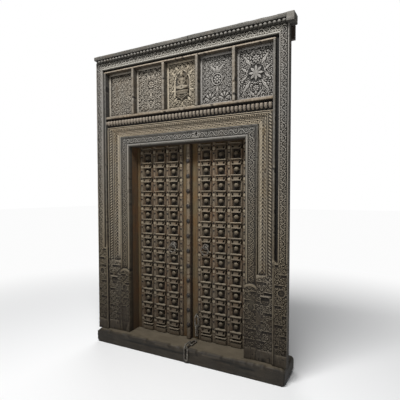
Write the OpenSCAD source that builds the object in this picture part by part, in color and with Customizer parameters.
// Carved haveli temple door in its frame: nested carved jambs and heads, a five-panel frieze,
// a beaded cornice, a heavy sill and two coffered leaves that turn inwards on wooden pivots.
// +X is to the right, +Y goes into the wall and +Z is up. The origin is the centre of the sill's
// underside in X, on the front plane of the outer jambs in Y. All sizes are in millimetres.

/* [Opening] */
// Clear width between the inner jambs
opening_w = 1114; // [930:2:1340]
// Clear height from the sill to the inner head
opening_h = 1691; // [1410:1:2030]

/* [Sill] */
// Height of the sill beam
sill_h = 122; // [100:1:150]
// Overhang of the sill in front of the outer jambs
sill_front = 31; // [20:1:50]
// How far each end of the sill stops short of the outer jamb's side
sill_inset = 5; // [0:1:20]
// Radius of the worn ends of the sill
sill_round = 32; // [10:1:40]

/* [Carved members] */
// Width of the inner architrave on its jambs
inner_w = 97; // [80:1:116]
// Height of the inner head
inner_head_h = 88; // [74:1:106]
// Setback of the inner architrave's face
inner_y = 40; // [34:1:46]
// Dark groove between the inner and the middle member
inner_gap = 6; // [4:1:8]
// Width of the middle member on its jambs
middle_w = 123; // [100:1:148]
// Height of the middle head
middle_head_h = 84; // [70:1:100]
// Setback of the middle member at its outer edge
middle_y_outer = 22; // [18:1:26]
// Setback of the middle member at its inner edge
middle_y_inner = 54; // [48:1:58]
// Width of the plain strip
strip_w = 17; // [14:1:22]
// Width of the deep groove beside the outer band
groove_w = 26; // [20:1:32]
// Depth of that groove
groove_depth = 28; // [20:1:34]
// Thickness of the lip behind the groove beside the inner member
lip_t = 12; // [10:1:14]
// Width of the outer carved band
band_w = 69; // [58:1:83]
// Height above the sill at which the outer groove stops on the carved foot
outer_foot_h = 775; // [640:1:930]
// Thickness of the outer jambs, from the front plane
jamb_t = 70; // [60:1:84]
// Depth of the carved front assembly
front_t = 90; // [86:1:108]

/* [Frieze] */
// Clear height of the frieze between its rails
frieze_h = 395; // [330:1:470]
// Number of carved panels
panel_count = 5; // [3:1:7]
// Width of a mullion
mullion_w = 24; // [18:1:30]
// Recess of the carved panels
panel_y = 58; // [48:1:62]
// Height of the raised rim around each panel
panel_rim = 10; // [6:1:12]
// Width of the raised rim around each panel
panel_rim_w = 16; // [10:1:22]
// Height of the thin top rail
top_rail_h = 12; // [9:1:16]
// Height of the bottom rail
bottom_rail_h = 20; // [16:1:26]
// Height of the undercut below the bottom rail
undercut_h = 20; // [16:1:26]
// Height of the row of petals
petal_h = 55; // [45:1:66]

/* [Cornice] */
// Height of the cornice above the outer head band
cornice_h = 42; // [36:1:52]
// Height of the cornice's fascia
fascia_h = 32; // [26:1:34]
// Overhang of the fascia in front of the outer band
fascia_front = 39; // [30:1:48]
// Overhang of the bead row in front of the outer band
bead_front = 24; // [18:1:28]
// Height of the bead row
bead_h = 22; // [18:1:26]
// Depth of the cornice behind the front plane
cornice_back = 60; // [50:1:68]
// Overhang of the cornice past the right jamb
cornice_right = 45; // [30:1:60]
// How far the cornice stops short of the left jamb's side
cornice_left = 15; // [0:1:20]
// Length of the plain block at the cornice's right end
end_block_l = 57; // [48:1:68]
// Height of that block
end_block_h = 62; // [56:1:72]

/* [Beam and posts] */
// Thickness of the lintel plank whose horns show past the jambs
lintel_t = 30; // [24:1:36]
// Height of the lintel plank
lintel_h = 103; // [86:1:124]
// Length of each horn past the jamb
horn = 22; // [12:1:32]
// Height of the beam that holds the upper pivots
pivot_head_h = 90; // [76:1:104]
// Width of a door post behind the inner architrave
post_w = 100; // [96:1:120]
// Depth of a door post
post_t = 80; // [66:1:96]

/* [Leaves] */
// Gap between the door posts and the leaf behind them
leaf_gap = 9; // [6:1:12]
// Thickness of a heel stile
heel_t = 52; // [44:1:60]
// Distance of the pivot outside the opening's edge
pivot_out = 28; // [27:1:34]
// How far a heel stile reaches inside the opening's edge
heel_in = 17; // [14:1:20]
// Radius of a pivot pin
pin_r = 14; // [11:1:17]
// Radial clearance of a pivot pin
pin_clear = 0.6; // [0.4:0.1:0.9]
// Length of a lower pivot pin in the sill
pin_l = 30; // [24:1:36]
// Thickness of the leaf boards
board_t = 30; // [25:1:36]
// Distance of the boards' middle in front of the pivots
board_forward = 5; // [3:1:7]
// Depth of the sill behind the leaves
sill_behind = 15; // [12:1:20]
// Thickness of the battens planted on the boards
batten_t = 12; // [10:1:15]
// Width of a batten
batten_w = 38; // [32:1:44]
// Distance of the left heel batten from the opening's edge
left_heel_in = 46; // [40:1:56]
// Distance of the right heel batten from the opening's edge
right_heel_in = 52; // [40:1:62]
// Distance of the left meeting batten from the centre line
left_meet = 88; // [74:1:104]
// Distance of the right meeting batten from the centre line
right_meet = 94; // [80:1:112]
// Position of the joint between the leaves, right of the centre line
meet_x = 21; // [18:1:26]
// Gap between the leaves
meet_gap = 3; // [2:0.5:5]
// Running clearance of a leaf above the sill
leaf_foot = 4; // [2:1:6]
// Height of a leaf above the opening's head, behind it
leaf_over = 46; // [38:1:54]
// Width of the astragal
astragal_w = 38; // [32:1:42]
// Projection of the astragal from the boards
astragal_t = 44; // [36:1:52]
// Width of a back ledge
ledge_h = 90; // [76:1:108]
// Thickness of a back ledge
ledge_t = 22; // [18:1:26]

/* [Coffers] */
// Number of full rows of coffers
row_count = 12; // [10:1:14]
// Height of the lowest slat above the sill
first_slat = 125; // [110:1:140]
// Distance of the top slat below the opening's head
last_slat = 21; // [16:1:40]
// Height of the foot slat above the sill
foot_slat = 56; // [50:1:64]
// Height of a slat
slat_h = 14; // [12:1:17]
// Projection of a slat from the boards
slat_t = 30; // [25:1:36]
// Height of a visor
visor_h = 36; // [30:1:40]
// Projection of a visor from the boards
visor_t = 35; // [30:1:40]
// Width of the frame at each side of a recess
cheek_w = 15; // [12:1:18]
// Projection of that frame from the boards
cheek_t = 16; // [13:1:19]
// Radius of a boss at its base
boss_r = 24; // [20:1:26]
// Projection of a boss from the boards
boss_t = 32; // [27:1:38]
// Radius of a nail head
nail_r = 5; // [4:0.5:6]
// Projection of a nail head from its batten
nail_t = 4; // [3:0.5:5]
// Distance of the nails below the slats' middles
nail_drop = 6.4; // [5:0.2:8]

/* [Iron] */
// Radius of a pull ring at its wire's centre
ring_r = 34; // [28:1:40]
// Radius of the ring's wire
ring_wire = 5; // [4:0.5:6]
// Wire radius of the eye that holds a ring
eye_wire = 4; // [3.5:0.5:4.5]
// Room inside the eye around the ring's wire
eye_play = 6; // [5:0.5:7]
// Height of the eye's centre above the middle of its coffer
eye_rise = 6; // [4:1:8]
// Radius of a ring's back plate
plate_r = 27; // [23:1:32]
// Wire radius of a chain link
link_wire = 6; // [5:0.5:7]
// Width of a link between its wires' centres
link_w = 30; // [27:1:36]
// Length of a link between its end wires' centres
link_l = 96; // [84:1:104]
// Length of the last link, which hangs in front of the sill
end_link_l = 116; // [96:1:118]
// Position of the chain, right of the centre line
chain_x = 80; // [66:1:84]
// Height of the chain's staple above the sill
staple_z = 218; // [212:1:236]
// Wire radius of the chain's staple
staple_wire = 5; // [4.5:0.5:6]
// Room inside the staple around the first link's wire
staple_play = 2.5; // [2:0.5:3]
// Play between two linked pieces
link_play = 0.3; // [0.2:0.1:0.6]

/* [Hidden] */

// Facets of round pieces, and the small overlap that joins or cuts solids cleanly
round_fn = 48;
ring_fn = 64;
wire_fn = 24;
nail_fn = 16;
cut = 1;

// Half widths of the nested members, from the opening outwards
x_open = opening_w / 2;
x_inner = x_open + inner_w;
x_middle_in = x_inner + inner_gap;
x_middle = x_middle_in + middle_w;
x_strip = x_middle + strip_w;
x_groove = x_strip + groove_w;
x_outer = x_groove + band_w;

// Heights, from the sill upwards
z_head = sill_h + opening_h;
z_inner = z_head + inner_head_h;
z_middle_in = z_inner + inner_gap;
z_middle = z_middle_in + middle_head_h;
z_petal = z_middle + petal_h;
z_undercut = z_petal + undercut_h;
z_frieze = z_undercut + bottom_rail_h;
z_frieze_top = z_frieze + frieze_h;
z_strip = z_frieze_top + top_rail_h;
z_groove = z_strip + groove_w;
z_band = z_groove + band_w;
z_top = z_band + cornice_h;

// Frieze
panel_w = (2 * x_middle - (panel_count - 1) * mullion_w) / panel_count;
panel_pitch = panel_w + mullion_w;

// Leaves
y_post = front_t + post_t;
y_heel = y_post + leaf_gap;
y_pivot = y_heel + heel_t / 2;
x_pivot = x_open + pivot_out;
y_board = y_pivot - board_t / 2 - board_forward;
y_board_back = y_board + board_t;
sill_back = y_pivot + heel_t / 2 + sill_behind;
z_leaf = sill_h + leaf_foot;
z_leaf_top = z_head + leaf_over;
leaf_h = z_leaf_top - z_leaf;
heel_w = pivot_out + heel_in;
pivot_head_z = z_leaf_top + leaf_foot;
row_pitch = (opening_h - first_slat - last_slat) / row_count;
column_count = 3;
left_pitch = (x_open - left_heel_in - left_meet) / column_count;
right_pitch = (x_open - right_heel_in - right_meet) / column_count;
ring_row = 6;
board_joint = 1;
boards_per_leaf = 3;
recess_h = row_pitch - slat_h - visor_h;
z_first = sill_h + first_slat;
z_boss_drop = slat_h / 2 + visor_h + recess_h / 2;
y_slat = y_board - slat_t;

// Iron
eye_r = ring_wire + eye_play;
y_plate = y_board - visor_t;
eye_stand = 1;
y_eye = y_plate - eye_r - eye_stand;
z_ring_cell = z_first + ring_row * row_pitch - z_boss_drop;
z_eye = z_ring_cell + eye_rise;
z_ring_pivot = z_eye - eye_r + eye_wire + ring_wire + link_play;
chain_gap = 3;
y_chain = y_board - batten_t - link_w / 2 - link_wire - chain_gap;
z_staple = sill_h + staple_z;
link_step = link_l - 2 * link_wire - link_play;
staple_r = link_wire + staple_wire + staple_play;
z_link_top = z_staple - staple_r + staple_wire + link_wire + link_play;
y_hang = -sill_front - link_wire - chain_gap;
y_sill_link = y_hang + 2 * link_step;

function batten_x(side, k) =
  side < 0 ? -x_open + left_heel_in + k * left_pitch : right_meet + k * right_pitch;
function column_x(side, k) = batten_x(side, k) + (side < 0 ? left_pitch : right_pitch) / 2;
function cell_w(side) = (side < 0 ? left_pitch : right_pitch) - batten_w;
function ring_column(side) = side < 0 ? column_count - 1 : 0;
function is_ring_cell(side, row, col) = row == ring_row && col == ring_column(side);
function leaf_in(side) = side < 0 ? meet_x : meet_x + meet_gap;
function board_out(side) = side * (x_open - heel_in);

// A block from one corner to the opposite one
module block(low, high) {
  translate(low)
    cube(high - low);
}

// A jamb's outline on the ground plane, raised over the given height
module jamb_bar(z_low, z_high, outline) {
  translate([0, 0, z_low])
    linear_extrude(z_high - z_low)
      polygon(outline);
}

// A head's outline in (Y, Z), drawn out along X between two half widths
module head_bar(x_low, x_high, outline) {
  translate([x_low, 0, 0])
    rotate([90, 0, 90])
      linear_extrude(x_high - x_low)
        polygon(outline);
}

// The space outside a mitre line: everything above the head's side of both corners
module mitre_wedge(x_in, z_in, x_out, z_out) {
  slope = (z_out - z_in) / (x_out - x_in);
  reach = 3 * cut;
  x_a = x_in - reach;
  x_b = x_out + reach;
  z_a = z_in - reach * slope;
  z_b = z_out + reach * slope;
  translate([0, front_t + cut, 0])
    rotate([90, 0, 0])
      linear_extrude(front_t + fascia_front + 2 * cut)
        polygon([[x_a, z_a], [x_b, z_b], [x_b, z_b + band_w], [x_a, z_b + band_w]]);
}

module both_wedges(x_in, z_in, x_out, z_out) {
  mitre_wedge(x_in, z_in, x_out, z_out);
  mirror([1, 0, 0])
    mitre_wedge(x_in, z_in, x_out, z_out);
}

// ---- Sill, cornice and beam ----

module sill() {
  x_end = x_outer - sill_inset;
  depth = sill_back + sill_front;
  color("#3a332c")
    difference() {
      union() {
        block([-x_end + sill_round, -sill_front, 0], [x_end - sill_round, sill_back, sill_h]);
        for (s = [-1, 1]) {
          block(
            [s > 0 ? x_end - sill_round - cut : -x_end, -sill_front, sill_round],
            [s > 0 ? x_end : -x_end + sill_round + cut, sill_back, sill_h - sill_round]
          );
          for (z = [sill_round, sill_h - sill_round])
            translate([s * (x_end - sill_round), sill_back, z])
              rotate([90, 0, 0])
                cylinder(r = sill_round, h = depth, $fn = round_fn);
        }
      }
      for (s = [-1, 1])
        translate([s * x_pivot, y_pivot, sill_h - pin_l - link_play])
          cylinder(r = pin_r + pin_clear, h = pin_l + cut, $fn = round_fn);
    }
}

module cornice() {
  x_low = -x_outer + cornice_left;
  x_high = x_outer + cornice_right;
  x_block = x_high - end_block_l;
  z_bead = z_top - fascia_h - bead_h;
  color("#5a5146")
    union() {
      head_bar(x_low, x_block + cut, [
        [-fascia_front, z_top], [cornice_back, z_top], [cornice_back, z_band], [0, z_band],
        [0, z_bead], [-bead_front, z_bead], [-bead_front, z_top - fascia_h],
        [-fascia_front, z_top - fascia_h]
      ]);
      block([x_block, -fascia_front, z_top - end_block_h], [x_high, 0, z_top]);
      block([x_block, -cut, z_band], [x_high, cornice_back, z_top]);
      block([x_outer, -cut, z_top - end_block_h], [x_high, cornice_back, z_band + cut]);
    }
}

module lintel_plank() {
  color("#2b2520")
    block(
      [-x_outer - horn, jamb_t, z_frieze_top],
      [x_outer + horn, jamb_t + lintel_t, z_frieze_top + lintel_h]
    );
}

// ---- Outer band ----

module outer_head() {
  color("#5d5449")
    difference() {
      head_bar(-x_outer, x_outer, [
        [0, z_band], [jamb_t, z_band], [jamb_t, z_strip], [groove_depth, z_strip],
        [groove_depth, z_groove], [0, z_groove]
      ]);
      for (s = [0, 1])
        mirror([s, 0, 0])
          difference() {
            block([x_strip - cut, -cut, z_strip - cut], [x_outer + cut, jamb_t + cut, z_band + cut]);
            mitre_wedge(x_strip, z_strip, x_outer, z_band);
            block([x_strip - 2 * cut, -2 * cut, z_strip - 2 * cut], [x_strip, jamb_t + 2 * cut, z_band]);
          }
    }
}

module outer_jamb_shape() {
  z_foot = sill_h + outer_foot_h;
  difference() {
    union() {
      jamb_bar(sill_h, z_foot, [[x_strip, 0], [x_outer, 0], [x_outer, jamb_t], [x_strip, jamb_t]]);
      jamb_bar(z_foot, z_band, [
        [x_strip, groove_depth], [x_groove, groove_depth], [x_groove, 0], [x_outer, 0],
        [x_outer, jamb_t], [x_strip, jamb_t]
      ]);
    }
    mitre_wedge(x_strip, z_strip, x_outer, z_band);
  }
}

module outer_jamb_left() {
  color("#564d43")
    mirror([1, 0, 0])
      outer_jamb_shape();
}

module outer_jamb_right() {
  color("#564d43")
    outer_jamb_shape();
}

// ---- Plain strips and frieze ----

module strip_left() {
  color("#6b6154")
    block([-x_strip, 0, sill_h], [-x_middle, jamb_t, z_frieze_top]);
}

module strip_right() {
  color("#6b6154")
    block([x_middle, 0, sill_h], [x_strip, jamb_t, z_frieze_top]);
}

module frieze_top_rail() {
  color("#8c8272")
    block([-x_strip, 0, z_frieze_top], [x_strip, jamb_t, z_strip]);
}

module frieze_bottom_rail() {
  color("#8c8272")
    block([-x_middle, 0, z_undercut], [x_middle, front_t, z_frieze]);
}

module frieze_mullions() {
  color("#857a69")
    for (k = [1 : panel_count - 1])
      translate([-x_middle + k * panel_pitch - mullion_w, 0, z_frieze])
        cube([mullion_w, jamb_t, frieze_h]);
}

module frieze_panel(k) {
  x_low = -x_middle + (k - 1) * panel_pitch;
  x_high = x_low + panel_w;
  color("#6f6658")
    difference() {
      block([x_low, panel_y - panel_rim, z_frieze], [x_high, jamb_t, z_frieze_top]);
      block(
        [x_low + panel_rim_w, panel_y - panel_rim - cut, z_frieze + panel_rim_w],
        [x_high - panel_rim_w, panel_y, z_frieze_top - panel_rim_w]
      );
    }
}

module petal_rail() {
  lean = 10;
  color("#7a6f60")
    head_bar(-x_middle, x_middle, [
      [groove_depth, z_undercut], [front_t, z_undercut], [front_t, z_middle],
      [groove_depth, z_middle], [0, z_petal - lean], [0, z_petal], [groove_depth, z_petal]
    ]);
}

// ---- Middle member ----

module middle_head() {
  color("#7b6a54")
    difference() {
      head_bar(-x_middle, x_middle, [
        [middle_y_outer, z_middle], [front_t, z_middle], [front_t, z_inner],
        [front_t - lip_t, z_inner], [front_t - lip_t, z_middle_in], [middle_y_inner, z_middle_in]
      ]);
      for (s = [0, 1])
        mirror([s, 0, 0])
          difference() {
            block([x_inner - cut, -cut, z_inner - cut], [x_middle + cut, front_t + cut, z_middle + cut]);
            mitre_wedge(x_inner, z_inner, x_middle, z_middle);
            block([x_inner - 2 * cut, -2 * cut, z_inner - 2 * cut], [x_inner, front_t + 2 * cut, z_middle]);
          }
    }
}

module middle_jamb_shape() {
  difference() {
    jamb_bar(sill_h, z_middle, [
      [x_inner, front_t - lip_t], [x_middle_in, front_t - lip_t], [x_middle_in, middle_y_inner],
      [x_middle, middle_y_outer], [x_middle, front_t], [x_inner, front_t]
    ]);
    mitre_wedge(x_inner, z_inner, x_middle, z_middle);
  }
}

module middle_jamb_left() {
  color("#5f5445")
    mirror([1, 0, 0])
      middle_jamb_shape();
}

module middle_jamb_right() {
  color("#5f5445")
    middle_jamb_shape();
}

// ---- Inner architrave ----

module inner_head() {
  notch_x = 128;
  notch_rise = 37;
  notch_depth = 22;
  slot_w = 11;
  slot_h = 44;
  bar_w = 26;
  bar_h = 13;
  z_slot = z_head + notch_rise;
  color("#6e6558")
    difference() {
      block([-x_inner, inner_y, z_head], [x_inner, front_t, z_inner]);
      for (s = [0, 1])
        mirror([s, 0, 0])
          difference() {
            block(
              [x_open - cut, inner_y - cut, z_head - cut],
              [x_inner + cut, front_t + cut, z_inner + cut]
            );
            mitre_wedge(x_open, z_head, x_inner, z_inner);
            block([x_open - 2 * cut, 0, z_head - 2 * cut], [x_open, front_t + 2 * cut, z_inner]);
          }
      block([notch_x, inner_y - cut, z_slot], [notch_x + slot_w, inner_y + notch_depth, z_slot + slot_h]);
      block(
        [notch_x + (slot_w - bar_w) / 2, inner_y - cut, z_slot + (slot_h - bar_h) / 2],
        [notch_x + (slot_w + bar_w) / 2, inner_y + notch_depth, z_slot + (slot_h + bar_h) / 2]
      );
    }
}

module inner_jamb_shape() {
  difference() {
    block([x_open, inner_y, sill_h], [x_inner, front_t, z_inner]);
    mitre_wedge(x_open, z_head, x_inner, z_inner);
  }
}

module inner_jamb_left() {
  color("#60574a")
    mirror([1, 0, 0])
      inner_jamb_shape();
}

module inner_jamb_right() {
  color("#60574a")
    inner_jamb_shape();
}

// ---- Posts and pivot head behind the carved front ----

module door_post_left() {
  color("#4a3a2c")
    block([-x_open - post_w, front_t, sill_h], [-x_open, y_post, pivot_head_z]);
}

module door_post_right() {
  color("#4a3a2c")
    block([x_open, front_t, sill_h], [x_open + post_w, y_post, pivot_head_z]);
}

// Upper beam that closes the opening behind the inner head and holds the upper pivots
module pivot_head() {
  x_end = x_open + post_w;
  color("#3f3227")
    difference() {
      union() {
        block([-x_open, front_t, z_head], [x_open, y_post, pivot_head_z]);
        block([-x_end, front_t, pivot_head_z], [x_end, sill_back, pivot_head_z + pivot_head_h]);
      }
      for (s = [-1, 1])
        translate([s * x_pivot, y_pivot, pivot_head_z - cut])
          cylinder(r = pin_r + pin_clear, h = pin_l + cut + link_play, $fn = round_fn);
    }
}

// ---- Leaves: side is -1 for the left leaf and 1 for the right one ----

module leaf_boards(side) {
  x_a = side < 0 ? board_out(side) : leaf_in(side);
  x_b = side < 0 ? leaf_in(side) : board_out(side);
  w = (x_b - x_a + board_joint) / boards_per_leaf;
  for (k = [0 : boards_per_leaf - 1])
    translate([x_a + k * w, y_board, z_leaf])
      cube([w - board_joint, board_t, leaf_h]);
}

module heel_stile(side) {
  x_in = side * (x_pivot - heel_w);
  union() {
    block(
      [min(x_in, side * x_pivot), y_heel, z_leaf],
      [max(x_in, side * x_pivot), y_heel + heel_t, z_leaf_top]
    );
    translate([side * x_pivot, y_pivot, z_leaf])
      cylinder(r = heel_t / 2, h = leaf_h, $fn = round_fn);
    translate([side * x_pivot, y_pivot, sill_h - pin_l])
      cylinder(r = pin_r, h = leaf_foot + pin_l + cut, $fn = round_fn);
    translate([side * x_pivot, y_pivot, z_leaf_top - cut])
      cylinder(r = pin_r, h = leaf_foot + pin_l + cut, $fn = round_fn);
  }
}

module leaf_battens(side) {
  for (k = [0 : column_count])
    translate([batten_x(side, k) - batten_w / 2, y_board - batten_t, z_leaf])
      cube([batten_w, batten_t, leaf_h - cut]);
}

module leaf_nails(side) {
  for (k = [0 : column_count], row = [0 : 2 * row_count])
    translate([batten_x(side, k), y_board - batten_t, z_first + row * row_pitch / 2 - nail_drop])
      rotate([90, 0, 0])
        cylinder(r = nail_r, h = nail_t, $fn = nail_fn);
}

module leaf_slats(side) {
  w = cell_w(side) - cut;
  for (col = [0 : column_count - 1]) {
    for (row = [0 : row_count])
      translate([column_x(side, col) - w / 2, y_slat, z_first + row * row_pitch - slat_h / 2])
        cube([w, slat_t, slat_h]);
    translate([column_x(side, col) - w / 2, y_slat, sill_h + foot_slat - slat_h / 2])
      cube([w, slat_t, slat_h]);
  }
}

module visor(w) {
  taper = 9;
  notch_w = 12;
  notch_h = 14;
  notch_top = 8;
  difference() {
    rotate([90, 0, 0])
      linear_extrude(visor_t)
        polygon([[-w / 2, 0], [w / 2, 0], [w / 2 - taper, -visor_h], [-w / 2 + taper, -visor_h]]);
    for (s = [-1, 1])
      translate([s * (w / 2 - notch_w) - notch_w / 2, -visor_t - cut, -notch_h - notch_top])
        cube([notch_w, visor_t / 2 + cut, notch_h]);
  }
}

module leaf_visors(side) {
  for (col = [0 : column_count - 1], row = [0 : row_count])
    translate([column_x(side, col), y_board, z_first + row * row_pitch - slat_h / 2])
      visor(cell_w(side) - cut);
}

module leaf_cheeks(side) {
  for (col = [0 : column_count - 1], row = [1 : row_count], s = [-1, 1])
    translate([
      column_x(side, col) + s * (cell_w(side) - cheek_w - cut) / 2 - cheek_w / 2,
      y_board - cheek_t,
      z_first + (row - 1) * row_pitch + slat_h / 2
    ])
      cube([cheek_w, cheek_t, recess_h - link_play]);
}

module leaf_bosses(side) {
  tip = 9;
  for (col = [0 : column_count - 1], row = [1 : row_count])
    if (!is_ring_cell(side, row, col))
      translate([column_x(side, col), y_board, z_first + row * row_pitch - z_boss_drop])
        rotate([90, 0, 0])
          cylinder(r1 = boss_r, r2 = tip, h = boss_t, $fn = wire_fn);
}

module leaf_ledges(side) {
  margin = 12;
  x_a = side < 0 ? side * (x_pivot - heel_w - margin) : leaf_in(side) + margin;
  x_b = side < 0 ? leaf_in(side) - margin : side * (x_pivot - heel_w - margin);
  ledge_count = 4;
  first = 180;
  step = (leaf_h - 2 * first - ledge_h) / (ledge_count - 1);
  for (k = [0 : ledge_count - 1])
    translate([x_a, y_board_back, z_leaf + first + k * step])
      cube([x_b - x_a, ledge_t, ledge_h]);
}

module foot_rail(side) {
  foot_inset = 6;
  for (col = [0 : column_count - 1])
    translate([column_x(side, col) - (cell_w(side) - cut) / 2, y_board - slat_t + foot_inset, z_leaf])
      cube([cell_w(side) - cut, slat_t - foot_inset, foot_slat - slat_h - leaf_foot]);
}

// A forged eye on a round back plate, standing on the boards of the ring's cell
module ring_plate(side) {
  translate([column_x(side, ring_column(side)), 0, 0])
    union() {
      translate([0, y_board, z_ring_cell])
        rotate([90, 0, 0])
          cylinder(r = plate_r, h = visor_t, $fn = round_fn);
      translate([0, y_eye, z_eye])
        rotate([0, 90, 0])
          rotate_extrude($fn = round_fn)
            translate([eye_r, 0])
              circle(r = eye_wire, $fn = wire_fn);
    }
}

module pull_ring(side) {
  translate([column_x(side, ring_column(side)), y_eye, z_ring_pivot - ring_r])
    rotate([90, 0, 0])
      rotate_extrude($fn = ring_fn)
        translate([ring_r, 0])
          circle(r = ring_wire, $fn = wire_fn);
}

// One forged link with its long axis on Z, its top wire's centre at the origin and its width on X
module chain_link(long) {
  straight = long - link_w;
  union() {
    for (s = [-1, 1])
      translate([s * link_w / 2, 0, -link_w / 2 - straight])
        cylinder(r = link_wire, h = straight, $fn = wire_fn);
    translate([0, 0, -link_w / 2])
      rotate([90, 0, 0])
        rotate_extrude(angle = 180, $fn = round_fn)
          translate([link_w / 2, 0])
            circle(r = link_wire, $fn = wire_fn);
    translate([0, 0, -link_w / 2 - straight])
      rotate([-90, 0, 0])
        rotate_extrude(angle = 180, $fn = round_fn)
          translate([link_w / 2, 0])
            circle(r = link_wire, $fn = wire_fn);
  }
}

// One link that lies flat on the sill, one on edge across its front, and the last one hanging
module sill_chain() {
  z_flat = sill_h + link_wire;
  color("#2c2a28") {
    translate([chain_x, y_sill_link, z_flat + link_play])
      rotate([-90, 0, 0])
        chain_link(link_l);
    translate([chain_x, y_sill_link - link_step, z_flat + link_w / 2])
      rotate([-90, 0, 0])
        rotate([0, 0, 90])
          chain_link(link_l);
    translate([chain_x, y_hang, z_flat + 2 * link_wire + link_play])
      chain_link(end_link_l);
  }
}

// Forged eye whose tail is driven into the right leaf's plain stile
module chain_staple() {
  color("#2c2a28")
    translate([chain_x, y_chain, z_staple])
      union() {
        rotate([0, 90, 0])
          rotate_extrude($fn = round_fn)
            translate([staple_r, 0])
              circle(r = staple_wire, $fn = wire_fn);
        translate([0, staple_r, 0])
          rotate([-90, 0, 0])
            cylinder(r = staple_wire, h = y_board - batten_t - y_chain - staple_r, $fn = wire_fn);
      }
}

// Two links that hang from the staple
module leaf_chain() {
  color("#2c2a28") {
    translate([chain_x, y_chain, z_link_top])
      chain_link(link_l);
    translate([chain_x, y_chain, z_link_top - link_step])
      rotate([0, 0, 90])
        chain_link(link_l);
  }
}

// ---- Nodes ----

module left_boards() {
  color("#6b5a45")
    leaf_boards(-1);
}

module right_boards() {
  color("#6b5a45")
    leaf_boards(1);
}

module left_heel_stile() {
  color("#5e4e3b")
    heel_stile(-1);
}

module right_heel_stile() {
  color("#5e4e3b")
    heel_stile(1);
}

module left_battens() {
  color("#7a6650")
    leaf_battens(-1);
}

module right_battens() {
  color("#7a6650")
    leaf_battens(1);
}

module left_nails() {
  color("#241f1b")
    leaf_nails(-1);
}

module right_nails() {
  color("#241f1b")
    leaf_nails(1);
}

module left_slats() {
  color("#8a7a64")
    leaf_slats(-1);
}

module right_slats() {
  color("#8a7a64")
    leaf_slats(1);
}

module left_visors() {
  color("#75654f")
    leaf_visors(-1);
}

module right_visors() {
  color("#75654f")
    leaf_visors(1);
}

module left_cheeks() {
  color("#5c4d3b")
    leaf_cheeks(-1);
}

module right_cheeks() {
  color("#5c4d3b")
    leaf_cheeks(1);
}

module left_bosses() {
  color("#7d6c55")
    leaf_bosses(-1);
}

module right_bosses() {
  color("#7d6c55")
    leaf_bosses(1);
}

module left_ledges() {
  color("#4f4233")
    leaf_ledges(-1);
}

module right_ledges() {
  color("#4f4233")
    leaf_ledges(1);
}

module left_foot_rail() {
  color("#54483a")
    foot_rail(-1);
}

module right_foot_rail() {
  color("#54483a")
    foot_rail(1);
}

module left_astragal() {
  color("#6a5c4b")
    block(
      [leaf_in(-1) - astragal_w, y_board - astragal_t, z_leaf],
      [leaf_in(-1), y_board, z_head - leaf_foot]
    );
}

module left_studs() {
  stud_margin = 3;
  stud_r = astragal_w / 2 - stud_margin;
  stud_tip = 9.6;
  stud_t = 12;
  stud_rise = 2.6;
  color("#3a3430")
    for (row = [0 : row_count - 1])
      translate([leaf_in(-1) - astragal_w / 2, y_board - astragal_t, z_first + row * row_pitch + stud_rise])
        rotate([90, 0, 0])
          cylinder(r1 = stud_r, r2 = stud_tip, h = stud_t, $fn = wire_fn);
}

module left_ring_plate() {
  color("#2e2b28")
    ring_plate(-1);
}

module right_ring_plate() {
  color("#2e2b28")
    ring_plate(1);
}

module left_ring() {
  color("#33302d")
    pull_ring(-1);
}

module right_ring() {
  color("#33302d")
    pull_ring(1);
}

sill();
cornice();
lintel_plank();
outer_head();
outer_jamb_left();
outer_jamb_right();
strip_left();
strip_right();
frieze_top_rail();
frieze_bottom_rail();
frieze_mullions();
frieze_panel(1);  // frieze_panel_1
frieze_panel(2);  // frieze_panel_2
frieze_panel(3);  // frieze_panel_3
frieze_panel(4);  // frieze_panel_4
frieze_panel(5);  // frieze_panel_5
petal_rail();
middle_head();
middle_jamb_left();
middle_jamb_right();
inner_head();
inner_jamb_left();
inner_jamb_right();
door_post_left();
door_post_right();
pivot_head();
sill_chain();
left_boards();
left_heel_stile();
left_battens();
left_nails();
left_slats();
left_visors();
left_cheeks();
left_bosses();
left_ledges();
left_astragal();
left_studs();
left_foot_rail();
left_ring_plate();
left_ring();
right_boards();
right_heel_stile();
right_battens();
right_nails();
right_slats();
right_visors();
right_cheeks();
right_bosses();
right_ledges();
right_foot_rail();
right_ring_plate();
right_ring();
chain_staple();
leaf_chain();
